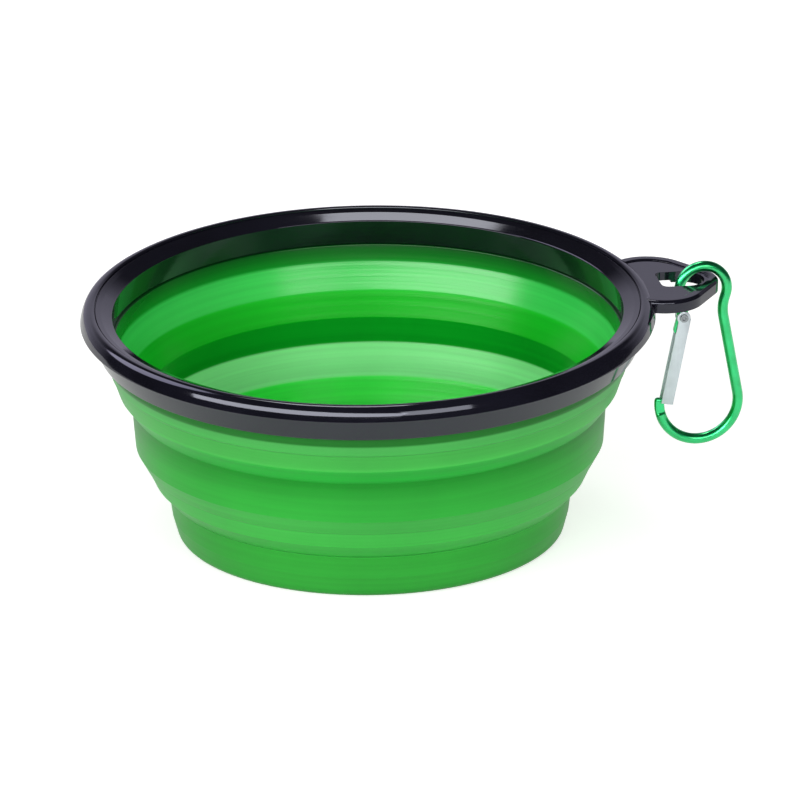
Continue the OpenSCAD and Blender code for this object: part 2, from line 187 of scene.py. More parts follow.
def rim_plastic():
    """Black gloss plastic: faint flow marks, fine wipe scratches and a soft waviness."""
    material, shader, add, links = new_material("rim_plastic")
    place = add("ShaderNodeTexCoord").outputs["Object"]
    flow = add("ShaderNodeTexNoise", {"Vector": place, "Scale": 55, "Detail": 3}).outputs["Fac"]
    tone = add("ShaderNodeValToRGB", {"Fac": flow})
    tone.color_ramp.elements[0].position = 0.3
    tone.color_ramp.elements[0].color = (0.0035, 0.0034, 0.006, 1)
    tone.color_ramp.elements[1].position = 0.75
    tone.color_ramp.elements[1].color = (0.007, 0.0068, 0.012, 1)
    links.new(tone.outputs["Color"], shader.inputs["Base Color"])
    squeeze = add("ShaderNodeMapping", {"Vector": place, "Scale": (90, 90, 1400)}).outputs["Vector"]
    wipes = add("ShaderNodeTexNoise", {"Vector": squeeze, "Scale": 1, "Detail": 5}).outputs["Fac"]
    gloss = add("ShaderNodeMapRange", {"Value": wipes, "To Min": 0.05, "To Max": 0.11})
    links.new(gloss.outputs["Result"], shader.inputs["Roughness"])
    waves = add("ShaderNodeTexNoise", {"Vector": place, "Scale": 130, "Detail": 2}).outputs["Fac"]
    mix = add("ShaderNodeMath", {0: wipes, 1: 0.25}, operation="MULTIPLY").outputs[0]
    height = add("ShaderNodeMath", {0: waves, 1: mix}, operation="ADD").outputs[0]
    bump = add("ShaderNodeBump", {"Height": height, "Strength": 0.25, "Distance": 0.00006})
    links.new(bump.outputs["Normal"], shader.inputs["Normal"])
    shader.inputs["IOR"].default_value = 1.66
    shader.inputs["Specular Tint"].default_value = (0.84, 0.86, 1.0, 1)
    return material


rim_outline = rounded(
    [(MOUTH_R, LIP_FOOT, 0.15), (MOUTH_R, LIP_TOP, 0.3), (*CROWN, 3.0),
     (GROOVE_R - GROOVE_HALF, GROOVE_TOP, 0.12), (GROOVE_R, GROOVE_FLOOR, 0.08)]
    + bead_corners()
    + [(SKIRT_TOP_R, SKIRT_TOP, 0.05), (SKIRT_R, SKIRT_FOOT, 0.3),
       (SKIRT_R - SKIRT_WALL, SKIRT_FOOT, 0.3), (SKIRT_R - SKIRT_WALL, LIP_FOOT, 0)])
rim_black = rim_plastic()
rim = turned("rim_frame_moulding", rim_outline)
rim.data.materials.append(rim_black)
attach(rim, "rim")
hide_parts("rim_frame")

# Carrying tab
# Part of the rim's moulding: a plate with a raised border, a deep edge that stiffens it, and a
# slot that is round at its outer end, where the snap hook hangs. It falls slightly outwards.

# Sizes in mm: X from the bowl's axis, heights from the table before the tab is let fall
TAB_TIP_X = 81.2
TAB_TIP_R = 6.6
TAB_SHOULDER_R = 10.0
TAB_SHOULDER_Y = 5.0
TAB_SIDE_TURN = 36.0
TAB_ROOT_X = 59.5
TAB_TOP = 53.75
TAB_EDGE_H = 2.9
TAB_FOOT = TAB_TOP - TAB_EDGE_H
TAB_FACE_DEPTH = 0.35
TAB_FACE_SLOPE = 0.15
TAB_PLATE = 2.0
TAB_BORDER = 1.4
TAB_ROUND = 0.8
TAB_SOLID_X = 71.5
TAB_FALL = 3.0
SLOT_START_X = 67.5
SLOT_END_X = 78.0
SLOT_HALF = 4.6
SLOT_CORNER_R = 1.6
CUT_OVER = 1.0
CUT_EASE = 0.12
TAB_ARC_STEPS = 20

# The shoulder's centre lies where one straight side runs from the shoulder's arc into the tip's
TAB_SHOULDER = (TAB_TIP_X - TAB_TIP_R - (
    TAB_SHOULDER_R - TAB_TIP_R + TAB_SHOULDER_Y * math.sin(math.radians(TAB_SIDE_TURN))
) / math.cos(math.radians(TAB_SIDE_TURN)), TAB_SHOULDER_Y)


def arc_on(bm, vert, centre, degrees, steps):
    """Carries a vertex round a centre in the XY plane and returns the arc's last vertex."""
    made = bmesh.ops.spin(bm, geom=[vert], cent=(centre[0] * MM, centre[1] * MM, vert.co.z),
                          axis=(0, 0, 1), dvec=(0, 0, 0), angle=math.radians(degrees), steps=steps)
    return next(v for v in made["geom_last"] if isinstance(v, bmesh.types.BMVert))


def line_on(bm, vert, x, y):
    """Draws a straight line from a vertex to a place in its own level, in mm."""
    end = bm.verts.new((x * MM, y * MM, vert.co.z))
    bm.edges.new((vert, end))
    return end


def tab_outline(bm, level, inset=0.0, end_x=None):
    """Face in the tab's outline, drawn in by an inset, and cut off straight where an x is given."""
    shoulder_r, tip_r = TAB_SHOULDER_R - inset, TAB_TIP_R - inset
    root_turn = math.degrees(math.acos((TAB_ROOT_X - TAB_SHOULDER[0]) / shoulder_r))
    side_turn = TAB_SIDE_TURN
    if end_x is not None:
        side_turn = math.degrees(math.acos((end_x - TAB_SHOULDER[0]) / shoulder_r))
    root_y = TAB_SHOULDER[1] + shoulder_r * math.sin(math.radians(root_turn))
    first = bm.verts.new((TAB_ROOT_X * MM, root_y * MM, level * MM))
    vert = arc_on(bm, first, TAB_SHOULDER, side_turn - root_turn, TAB_ARC_STEPS)
    foot_x, foot_y = vert.co.x / MM, vert.co.y / MM
    if end_x is None:
        side = math.radians(side_turn)
        tip_centre = (TAB_TIP_X - TAB_TIP_R, 0)
        vert = line_on(bm, vert, tip_centre[0] + tip_r * math.cos(side), tip_r * math.sin(side))
        vert = arc_on(bm, vert, tip_centre, -2 * side_turn, TAB_ARC_STEPS)
    vert = line_on(bm, vert, foot_x, -foot_y)
    vert = arc_on(bm, vert, (TAB_SHOULDER[0], -TAB_SHOULDER[1]), side_turn - root_turn, TAB_ARC_STEPS)
    bm.edges.new((vert, first))
    return bmesh.ops.contextual_create(bm, geom=bm.edges[:])["faces"][0]


def raised(bm, face, height):
    """Extrudes a face straight up, in mm, and returns the new top face."""
    made = bmesh.ops.extrude_face_region(bm, geom=[face], use_keep_orig=True)["geom"]
    bmesh.ops.translate(bm, verts=[v for v in made if isinstance(v, bmesh.types.BMVert)],
                        vec=(0, 0, height * MM))
    bmesh.ops.recalc_face_normals(bm, faces=bm.faces)
    return next(f for f in made if isinstance(f, bmesh.types.BMFace))


def let_fall(bm):
    """Tips what is drawn level about the line where the tab leaves the bead."""
    bmesh.ops.rotate(bm, verts=bm.verts, cent=(BEAD_RING_R * MM, 0, TAB_TOP * MM),
                     matrix=Matrix.Rotation(math.radians(TAB_FALL), 3, "Y"))


def tab_plate():
    """The tab before it is cut: a rounded outer edge, and a face that lies below its border."""
    bm = bmesh.new()
    lid = raised(bm, tab_outline(bm, TAB_FOOT), TAB_EDGE_H)
    outer = list(lid.edges)
    bmesh.ops.inset_region(bm, faces=[lid], thickness=(TAB_ROUND + TAB_BORDER) * MM, depth=0)
    bmesh.ops.inset_region(bm, faces=[lid], thickness=TAB_FACE_SLOPE * MM,
                           depth=-TAB_FACE_DEPTH * MM)
    bmesh.ops.bevel(bm, geom=outer, offset=TAB_ROUND * MM, segments=5, profile=0.5,
                    affect="EDGES", material=-1)
    let_fall(bm)
    return finished("tab_plate", bm, sharp=180)


def slot_cutter():
    """Solid as wide and long as the slot, tall enough to pass through the plate."""
    bm = bmesh.new()
    end_x = SLOT_END_X - SLOT_HALF
    corner = (SLOT_START_X + SLOT_CORNER_R, SLOT_HALF - SLOT_CORNER_R)
    first = bm.verts.new((SLOT_START_X * MM, corner[1] * MM, (TAB_FOOT - CUT_OVER) * MM))
    vert = arc_on(bm, first, corner, -90, 8)
    vert = line_on(bm, vert, end_x, SLOT_HALF)
    vert = arc_on(bm, vert, (end_x, 0), -180, 32)
    vert = line_on(bm, vert, corner[0], -SLOT_HALF)
    vert = arc_on(bm, vert, (corner[0], -corner[1]), -90, 8)
    bm.edges.new((vert, first))
    foot = bmesh.ops.contextual_create(bm, geom=bm.edges[:])["faces"][0]
    raised(bm, foot, TAB_EDGE_H + 2 * CUT_OVER)
    let_fall(bm)
    return finished("slot_cutter", bm, sharp=180)


def recess_cutter():
    """Hollow under the plate, inside its deep edge and short of its solid end."""
    bm = bmesh.new()
    face = tab_outline(bm, TAB_FOOT - CUT_OVER, TAB_BORDER, TAB_SOLID_X)
    raised(bm, face, TAB_EDGE_H - TAB_FACE_DEPTH - TAB_PLATE + CUT_OVER)
    let_fall(bm)
    return finished("recess_cutter", bm, sharp=180)


def bead_cutter():
    """Everything inside the bead's crown line, where the tab's root is hidden in the bead."""
    bm = bmesh.new()
    bmesh.ops.create_cone(bm, cap_ends=True, segments=TURN_STEPS, radius1=BEAD_RING_R * MM,
                          radius2=BEAD_RING_R * MM, depth=4 * TAB_EDGE_H * MM)
    bmesh.ops.translate(bm, verts=bm.verts, vec=(0, 0, TAB_TOP * MM))
    return finished("bead_cutter", bm, sharp=180)


def cut_and_eased(plate, cutters, ease):
    """Cuts solids out of the plate, eases the edges left, and evens the normals of flat faces."""
    for cutter in cutters:
        cut = plate.modifiers.new(cutter.name, "BOOLEAN")
        cut.object, cut.operation, cut.solver = cutter, "DIFFERENCE", "EXACT"
    soften = plate.modifiers.new("ease", "BEVEL")
    soften.width, soften.segments = ease * MM, 2
    soften.limit_method, soften.angle_limit = "ANGLE", math.radians(40)
    plate.modifiers.new("even", "WEIGHTED_NORMAL")
    bpy.context.view_layer.update()
    shaped = plate.evaluated_get(bpy.context.evaluated_depsgraph_get())
    mesh = bpy.data.meshes.new_from_object(shaped)
    plate.modifiers.clear()
    plate.data = mesh
    for cutter in cutters:
        bpy.data.objects.remove(cutter)
    return plate


tab = cut_and_eased(tab_plate(), [slot_cutter(), recess_cutter(), bead_cutter()], CUT_EASE)
tab.data.materials.clear()
tab.data.materials.append(rim_black)
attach(tab, "rim")
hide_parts("carry_tab")

# Bowl body
# One moulding in a soft green elastomer, made here in five pieces: the collar that the rim
# grips, two folding cones with thin walls, the stiff middle ring, and the base with its floor.

COLLAR_FOOT = 42.8
MIDDLE_TOP = 31.5
MIDDLE_FOOT = 21.6
BASE_TOP = 10.4
HEIGHT_SPAN = 60.0

# The elastomer's tone by height in the mould, as (height in mm, red, green, blue) in sRGB. Bands
# run from crease to crease. They were set by comparing renders with the photograph, and over the
# moulding's one green they hold painted light and shade. Outside, the dark band under the rim's
# skirt and the darker middle ring are painted shade, the fine dark line at the step in each cone's
# outside is painted shade in its crease, and the paler bands on the cones are painted sheen.
OUTSIDE_TONES_AND_SHADING = [
    (0.0, 40, 150, 48), (3.0, 44, 154, 50), (10.2, 42, 154, 48), (10.6, 53, 178, 64),
    (13.8, 52, 176, 62), (14.2, 60, 182, 68), (17.7, 58, 172, 66), (18.0, 48, 158, 56),
    (18.3, 58, 170, 66), (21.4, 58, 168, 66), (21.8, 42, 162, 52), (27.0, 34, 149, 44),
    (31.3, 10, 126, 26), (31.7, 28, 168, 50), (35.0, 30, 172, 52), (35.4, 64, 176, 70),
    (39.3, 60, 164, 66), (39.55, 50, 150, 58), (39.85, 62, 162, 70), (41.9, 68, 164, 76),
    (42.4, 18, 104, 26), (46.7, 14, 84, 20)]
# Inside, the dark bands under the lip and on the middle ring are painted shade, the pale bands on the
# cones are painted sheen, and the bright bands low down are painted light.
INSIDE_TONES_AND_SHADING = [
    (2.4, 40, 198, 58), (10.2, 34, 200, 50), (10.6, 12, 225, 46), (13.66, 36, 246, 60),
    (14.06, 36, 246, 60), (18.47, 36, 246, 62), (18.87, 130, 242, 144), (25.2, 130, 240, 142),
    (25.6, 1, 144, 28), (31.2, 1, 143, 26), (31.6, 1, 176, 20), (36.7, 1, 181, 24),
    (37.1, 52, 200, 78), (42.4, 50, 196, 78), (43.2, 2, 124, 26), (46.7, 1, 70, 16)]


def linear(value):
    """One sRGB channel from 0 to 255 as the linear value that shaders use."""
    share = value / 255
    return share / 12.92 if share <= 0.04045 else ((share + 0.055) / 1.055) ** 2.4


def elastomer(name, tones_and_shading, sheen, smooth):
    """Satin elastomer: tones by height with painted light and shade, fine streaks round the bowl,
    soft grain.
    """
    material, shader, add, links = new_material(name)
    place = add("ShaderNodeAttribute", attribute_name="mould_place").outputs["Vector"]
    height = add("ShaderNodeSeparateXYZ", {"Vector": place}).outputs["Z"]
    share = add("ShaderNodeMath", {0: height, 1: HEIGHT_SPAN * MM}, operation="DIVIDE").outputs[0]
    ramp = add("ShaderNodeValToRGB", {"Fac": share})
    stops = ramp.color_ramp.elements
    while len(stops) < len(tones_and_shading):
        stops.new(0.5)
    for stop, tone in zip(stops, tones_and_shading):
        stop.position = tone[0] / HEIGHT_SPAN
    for stop, tone in zip(stops, tones_and_shading):
        stop.color = (*(linear(channel) for channel in tone[1:]), 1)
    squeeze = add("ShaderNodeMapping", {"Vector": place, "Scale": (9, 9, 900)}).outputs["Vector"]
    streaks = add("ShaderNodeTexNoise", {"Vector": squeeze, "Scale": 1, "Detail": 4}).outputs["Fac"]
    cloud = add("ShaderNodeTexNoise", {"Vector": place, "Scale": 30, "Detail": 2}).outputs["Fac"]
    both = add("ShaderNodeMath", {0: streaks, 1: cloud}, operation="ADD").outputs[0]
    level = add("ShaderNodeMapRange", {"Value": both, "From Min": 0.6, "From Max": 1.4,
                                       "To Min": 0.84, "To Max": 1.16}).outputs["Result"]
    shade = add("ShaderNodeVectorMath", {0: ramp.outputs["Color"], 1: level}, operation="MULTIPLY")
    links.new(shade.outputs["Vector"], shader.inputs["Base Color"])
    satin = add("ShaderNodeMapRange", {"Value": streaks, "To Min": smooth, "To Max": smooth + 0.08})
    links.new(satin.outputs["Result"], shader.inputs["Roughness"])
    grain = add("ShaderNodeTexNoise", {"Vector": place, "Scale": 1800, "Detail": 2}).outputs["Fac"]
    faint = add("ShaderNodeMath", {0: grain, 1: 0.2}, operation="MULTIPLY").outputs[0]
    relief = add("ShaderNodeMath", {0: streaks, 1: faint}, operation="ADD").outputs[0]
    bump = add("ShaderNodeBump", {"Height": relief, "Strength": 0.5, "Distance": 0.00008})
    links.new(bump.outputs["Normal"], shader.inputs["Normal"])
    shader.inputs["Specular IOR Level"].default_value = sheen
    return material


def keep_mould_place(piece):
    """Stores each point's place at rest, for the pattern to be drawn from."""
    stored = piece.data.attributes.new("mould_place", "FLOAT_VECTOR", "POINT")
    for vert, entry in zip(piece.data.vertices, stored.data):
        entry.vector = vert.co


def two_sided(piece, outside, inside):
    """Gives the faces towards the axis, and those that look up, the inside finish, with its painted
    shading.
    """
    piece.data.materials.append(outside)
    piece.data.materials.append(inside)
    for face in piece.data.polygons:
        away = Vector((face.center.x, face.center.y, 0)).normalized()
        face.material_index = 1 if face.normal.dot(away) - face.normal.z < 0 else 0


# Outside and inside are one green, with different painted light and shade in their tones.
outer_green = elastomer("bowl_outside", OUTSIDE_TONES_AND_SHADING, 0.25, 0.3)
inner_green = elastomer("bowl_inside", INSIDE_TONES_AND_SHADING, 0.6, 0.2)
collar_outline = rounded(
    [(59.2, COLLAR_FOOT, 0), (59.4, 45.0, 0), (59.4, 46.6, 0), (57.2, 46.6, 0.2),
     (56.6, COLLAR_FOOT, 0)])
upper_fold_outline = rounded(
    [(59.2, COLLAR_FOOT, 0), (58.3, 39.8, 0.1), (58.05, 39.5, 0.1), (56.55, 35.2, 0.3),
     (53.7, MIDDLE_TOP, 0), (50.9, MIDDLE_TOP, 0), (54.0, 36.95, 0.3), (56.6, COLLAR_FOOT, 0)],
    longest=0.8)
middle_ring_outline = rounded(
    [(53.7, MIDDLE_TOP, 0), (53.48, 29.85, 0.6), (52.8, MIDDLE_FOOT, 0), (48.9, MIDDLE_FOOT, 0),
     (51.0, 25.4, 0.25), (50.9, MIDDLE_TOP, 0)])
lower_fold_outline = rounded(
    [(52.8, MIDDLE_FOOT, 0), (50.9, 18.2, 0.1), (50.65, 17.9, 0.1), (48.8, 14.0, 0.3),
     (45.5, BASE_TOP, 0), (42.7, BASE_TOP, 0), (47.2, 18.67, 0.3), (48.9, MIDDLE_FOOT, 0)],
    longest=0.8)
base_outline = rounded(
    [(0, 0, 0), (43.3, 0, 2.0), (44.75, 5.2, 0.6), (45.5, BASE_TOP, 0), (42.7, BASE_TOP, 0),
     (42.7, 2.4, 4.0), (0, 2.4, 0)], arc_steps=8)

bowl_parts = [
    ("collar", collar_outline, "rim", "collar_ring"),
    ("middle_band", middle_ring_outline, "middle", "middle_ring"),
    ("base_and_floor", base_outline, "base", "base_cup")]
for name, outline, body, node in bowl_parts:
    part = turned(name, outline)
    keep_mould_place(part)
    two_sided(part, outer_green, inner_green)
    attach(part, body)
    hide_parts(node)

bowl_folds = [
    ("upper_folding_wall", upper_fold_outline, "rim", "middle", COLLAR_FOOT, MIDDLE_TOP,
     "upper_fold"),
    ("lower_folding_wall", lower_fold_outline, "middle", "base", MIDDLE_FOOT, BASE_TOP,
     "lower_fold")]
for name, outline, above, below, top, foot, node in bowl_folds:
    fold = turned(name, outline)
    keep_mould_place(fold)
    two_sided(fold, outer_green, inner_green)
    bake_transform(fold)
    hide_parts(node)

# Snap hook body
# One aluminium wire, bent cold, flattened at the leg for the rivet and at the nose for the
# gate, then dyed green. It hangs by its upper bend round the bar at the end of the tab's slot.

# Sizes in mm and angles in degrees, in the hook's plane, from the centre of its top bend
hook_joint = next(joint for joint in frame["joints"] if joint["name"] == "hook_swing")
HOOK_PLACE = Matrix.Translation(hook_joint["pos_m"])
WIRE_R = 1.2
TOP_BEND_R = 5.5
WAIST_R = 10.0
BOW_R = 9.1
BOW_CENTRE = (-1.45, -26.9)
BACK_LEAN = 9.0
LEG_LEAN = 7.0
LEG_L = 5.6
FLAT_HALF = 0.68
FLAT_SIDE = 1.35
FLAT_ABOVE = 1.95
FLAT_BELOW = 1.215
FLAT_NECK = 0.35
NOSE_FULL = 194.1
NOSE_NECK = 2.5
NOSE_SIDE = 0.97
NOSE_TIP = 170.2
NOSE_DOME = ((2.3, 0.93), (1.5, 0.8), (0.9, 0.6))
GATE_LEAN = 12.5
HEEL_R = 0.75
HEEL_PLACE = (-0.8, -3.3)
HEEL_SHIFT = 0.2
HEEL_EASE = 0.12


def wire_bend(bm, ring, centre, degrees, steps):
    """Spins the wire's end ring round a centre in the hook's plane, and returns the new end."""
    made = bmesh.ops.spin(bm, geom=ring, cent=(centre[0] * MM, 0, centre[1] * MM), axis=(0, -1, 0),
                          dvec=(0, 0, 0), angle=math.radians(degrees), steps=steps)
    return made["geom_last"]


def wire_run(bm, ring, run, steps):
    """Carries the wire's end ring straight on by a run in the hook's plane, in mm."""
    made = bmesh.ops.spin(bm, geom=ring, cent=(0, 0, 0), axis=(0, -1, 0),
                          dvec=(run[0] * MM / steps, 0, run[1] * MM / steps), angle=0, steps=steps)
    return made["geom_last"]


def flatten(bm, ring, side_share, flat_share, across):
    """Squeezes a ring of wire: scaled along a direction in the hook's plane, and no thicker
    through that plane than a share of the wire's own radius."""
    verts = [v for v in ring if isinstance(v, bmesh.types.BMVert)]
    middle = sum((v.co for v in verts), Vector()) / len(verts)
    along = Vector((across[0], 0, across[1])).normalized()
    for vert in verts:
        offset = vert.co - middle
        wide, thin = offset.dot(along), offset.y
        limit = flat_share * WIRE_R * MM
        vert.co = middle + along * wide * side_share + Vector((0, max(-limit, min(limit, thin)), 0))


def heel_plate(rivet_place):
    """Mesh of the flat's heel, which reaches down inside the gate for the spring to push on."""
    bm = bmesh.new()
    disc = bmesh.ops.create_circle(bm, cap_ends=True, radius=HEEL_R * MM, segments=24)["verts"]
    upper = [v for v in disc if v.co.y > 1e-6]
    bmesh.ops.translate(bm, verts=upper, vec=(HEEL_SHIFT * MM, -HEEL_PLACE[1] * MM, 0))
    raised(bm, disc[0].link_faces[0], 2 * FLAT_HALF)
    rims = [e for e in bm.edges if abs(e.verts[0].co.z - e.verts[1].co.z) < 1e-7]
    bmesh.ops.bevel(bm, geom=rims, offset=HEEL_EASE * MM, segments=2, profile=0.5, affect="EDGES",
                    material=-1)
    centred = Matrix.Translation((HEEL_PLACE[0] * MM, HEEL_PLACE[1] * MM, -FLAT_HALF * MM))
    upright = Matrix.Rotation(math.radians(90), 4, "X") @ Matrix.Rotation(
        -math.radians(GATE_LEAN), 4, "Z")
    placed = Matrix.Translation((rivet_place.x * MM, 0, rivet_place.y * MM)) @ upright @ centred
    bmesh.ops.transform(bm, matrix=placed, verts=bm.verts)
    mesh = bpy.data.meshes.new("heel_plate")
    bm.to_mesh(mesh)
    bm.free()
    return mesh


def domed(bm, nose):
    """Draws the nose's end in, bend by bend, to a rounded tip, and closes it."""
    for turn, share in NOSE_DOME:
        nose = wire_bend(bm, nose, BOW_CENTRE, -turn, 1)
        verts = [v for v in nose if isinstance(v, bmesh.types.BMVert)]
        middle = sum((v.co for v in verts), Vector()) / len(verts)
        bmesh.ops.scale(bm, verts=verts, vec=(share, share, share), space=Matrix.Translation(-middle))
    bmesh.ops.edgeloop_fill(bm, edges=[e for e in nose if isinstance(e, bmesh.types.BMEdge)])


def hook_wire():
    """The wire from its bow up the back, over the waist and the top bend to the flattened leg, then
    from the bow's other end to the flattened nose, with the leg's heel added."""
    bm = bmesh.new()
    # The waist's own turn, from the distance between the back's line and the top bend's centre
    waist_turn = math.degrees(math.acos(
        (BOW_CENTRE[0] * math.cos(math.radians(BACK_LEAN))
         + BOW_CENTRE[1] * math.sin(math.radians(BACK_LEAN)) + BOW_R + WAIST_R)
        / (TOP_BEND_R + WAIST_R)))
    top_start = BACK_LEAN - waist_turn
    waist = on_circle((0, 0), TOP_BEND_R + WAIST_R, top_start)
    back_top = on_circle(waist, WAIST_R, 180 + BACK_LEAN)
    back_foot = on_circle(BOW_CENTRE, BOW_R, BACK_LEAN)
    start = on_circle(BOW_CENTRE, BOW_R, NOSE_FULL)
    circle = bmesh.ops.create_circle(bm, cap_ends=False, radius=WIRE_R * MM, segments=28)["verts"]
    lie = Matrix.Translation((start.x * MM, 0, start.y * MM)) @ Matrix.Rotation(
        -math.radians(NOSE_FULL), 4, "Y")
    bmesh.ops.transform(bm, matrix=lie, verts=circle)
    first = circle + list(dict.fromkeys(e for v in circle for e in v.link_edges))
    ring = wire_bend(bm, first, BOW_CENTRE, 360 + BACK_LEAN - NOSE_FULL, 56)
    ring = wire_run(bm, ring, back_top - back_foot, 10)
    ring = wire_bend(bm, ring, waist, -waist_turn, 14)
    ring = wire_bend(bm, ring, (0, 0), 180 + LEG_LEAN - top_start, 56)
    down = Vector((math.sin(math.radians(LEG_LEAN)), -math.cos(math.radians(LEG_LEAN))))
    across = Vector((down.y, -down.x))
    ring = wire_run(bm, ring, down * (LEG_L - FLAT_ABOVE), 4)
    ring = wire_run(bm, ring, down * FLAT_NECK, 2)
    flatten(bm, ring, FLAT_SIDE / WIRE_R, FLAT_HALF / WIRE_R, across)
    ring = wire_run(bm, ring, down * (FLAT_ABOVE - FLAT_NECK), 4)
    ring = wire_run(bm, ring, down * FLAT_BELOW, 3)
    bmesh.ops.edgeloop_fill(bm, edges=[e for e in ring if isinstance(e, bmesh.types.BMEdge)])
    nose = wire_bend(bm, first, BOW_CENTRE, -NOSE_NECK, 1)
    flatten(bm, nose, NOSE_SIDE, FLAT_HALF / WIRE_R, on_circle((0, 0), 1, NOSE_FULL - NOSE_NECK))
    dome_turn = sum(turn for turn, share in NOSE_DOME)
    nose = wire_bend(bm, nose, BOW_CENTRE, NOSE_TIP + NOSE_NECK + dome_turn - NOSE_FULL, 10)
    domed(bm, nose)
    rivet_place = on_circle((0, 0), TOP_BEND_R, 180 + LEG_LEAN) + down * LEG_L
    bm.from_mesh(heel_plate(rivet_place))
    bmesh.ops.transform(bm, matrix=HOOK_PLACE, verts=bm.verts)
    return finished("hook_wire", bm, sharp=40)


def anodised():
    """Dyed bright aluminium under a clear seal: drawn lines, slight unevenness of the dye."""
    material, shader, add, links = new_material("hook_anodised")
    place = add("ShaderNodeTexCoord").outputs["Object"]
    cloud = add("ShaderNodeTexNoise", {"Vector": place, "Scale": 260, "Detail": 3}).outputs["Fac"]
    tone = add("ShaderNodeValToRGB", {"Fac": cloud})
    tone.color_ramp.elements[0].position = 0.3
    tone.color_ramp.elements[0].color = (0.022, 0.66, 0.19, 1)
    tone.color_ramp.elements[1].position = 0.72
    tone.color_ramp.elements[1].color = (0.034, 0.86, 0.27, 1)
    links.new(tone.outputs["Color"], shader.inputs["Base Color"])
    lines = add("ShaderNodeMapping", {"Vector": place, "Scale": (400, 5200, 400)}).outputs["Vector"]
    drawn = add("ShaderNodeTexNoise", {"Vector": lines, "Scale": 1, "Detail": 3}).outputs["Fac"]
    gloss = add("ShaderNodeMapRange", {"Value": drawn, "To Min": 0.24, "To Max": 0.36})
    links.new(gloss.outputs["Result"], shader.inputs["Roughness"])
    bump = add("ShaderNodeBump", {"Height": drawn, "Strength": 0.2, "Distance": 0.00003})
    links.new(bump.outputs["Normal"], shader.inputs["Normal"])
    shader.inputs["Metallic"].default_value = 1.0
    shader.inputs["Coat Weight"].default_value = 0.9
    shader.inputs["Coat Roughness"].default_value = 0.1
    shader.inputs["Coat IOR"].default_value = 1.6
    return material


hook = hook_wire()
hook_green = anodised()
hook.data.materials.append(hook_green)
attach(hook, "hook")
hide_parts("hook_body")

# Gate, rivet and spring
# The gate is a channel folded from bare aluminium sheet. An upset aluminium rivet pins it to
# the hook's flat, and a steel wire inside the channel pushes it shut.

GATE_EASE = 0.12
RIVET_EASE = 0.07


def bare_metal(name, tone, rough, stretch):
    """Bare metal with rolling or turning lines, light handling marks and a soft grain."""
    material, shader, add, links = new_material(name)
    place = add("ShaderNodeTexCoord").outputs["Object"]
    lines = add("ShaderNodeMapping", {"Vector": place, "Scale": stretch}).outputs["Vector"]
    rolled = add("ShaderNodeTexNoise", {"Vector": lines, "Scale": 1, "Detail": 4}).outputs["Fac"]
    marks = add("ShaderNodeTexNoise", {"Vector": place, "Scale": 420, "Detail": 3}).outputs["Fac"]
    both = add("ShaderNodeMath", {0: rolled, 1: marks}, operation="ADD").outputs[0]
    ramp = add("ShaderNodeValToRGB", {"Fac": add(
        "ShaderNodeMath", {0: both, 1: 0.5}, operation="MULTIPLY").outputs[0]})
    for stop, level in zip(ramp.color_ramp.elements, (0.86, 1.06)):
        stop.color = tuple(level * channel for channel in tone) + (1,)
    ramp.color_ramp.elements[0].position, ramp.color_ramp.elements[1].position = 0.3, 0.7
    links.new(ramp.outputs["Color"], shader.inputs["Base Color"])
    gloss = add("ShaderNodeMapRange", {"Value": rolled, "To Min": rough, "To Max": rough + 0.14})
    links.new(gloss.outputs["Result"], shader.inputs["Roughness"])
    bump = add("ShaderNodeBump", {"Height": rolled, "Strength": 0.3, "Distance": 0.00002})
    links.new(bump.outputs["Normal"], shader.inputs["Normal"])
    shader.inputs["Metallic"].default_value = 1.0
    return material


def eased_copy(node, name, ease):
    """Copy of a built node with its flat faces joined up and its edges slightly rounded."""
    bm = bmesh.new()
    bm.from_mesh(frame["nodes"][node].data)
    bmesh.ops.remove_doubles(bm, verts=bm.verts, dist=1e-7)
    bmesh.ops.dissolve_limit(bm, angle_limit=math.radians(0.5), verts=bm.verts, edges=bm.edges)
    sharp = [e for e in bm.edges
             if len(e.link_faces) == 2 and e.calc_face_angle() > math.radians(40)]
    bmesh.ops.bevel(bm, geom=sharp, offset=ease * MM, segments=2, profile=0.5, affect="EDGES",
                    material=-1, clamp_overlap=True)
    return finished(name, bm)


gate = eased_copy("hook_gate", "gate_channel", GATE_EASE)
gate.data.materials.append(bare_metal("gate_metal", (0.78, 0.86, 0.9), 0.34, (900, 900, 60)))
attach(gate, "gate")
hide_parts("hook_gate")

rivet = eased_copy("gate_rivet", "upset_rivet", RIVET_EASE)
rivet.data.materials.append(bare_metal("rivet_metal", (0.4, 0.43, 0.45), 0.3, (700, 700, 700)))
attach(rivet, "hook")
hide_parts("gate_rivet")

spring = frame["nodes"]["gate_spring"]
spring.data.materials.clear()
spring.data.materials.append(bare_metal("spring_steel", (0.5, 0.5, 0.51), 0.22, (1200, 1200, 90)))

# Studio
# A round white table in a white room, three soft boxes, and what a glossy face mirrors: a dim
# room with one pale wall and a window. The view has no perspective, as through a very long lens.

# Sizes in metres. The view's azimuth and the lights' run round from the bowl's -Y side.
VIEW_AZIMUTH = math.radians(-13)
VIEW_ELEVATION = math.radians(21.09)
VIEW_ROLL = math.radians(0.86)
CAMERA_DISTANCE = 1
FIELD_WIDTH = 0.1806
MOUTH_CENTRE = Vector((0, 0, 0.052))
MOUTH_LEFT_OF_CENTRE = 0.00727
MOUTH_ABOVE_CENTRE = 0.01961
LAMP_AIM = Vector((0, 0, 0.04))

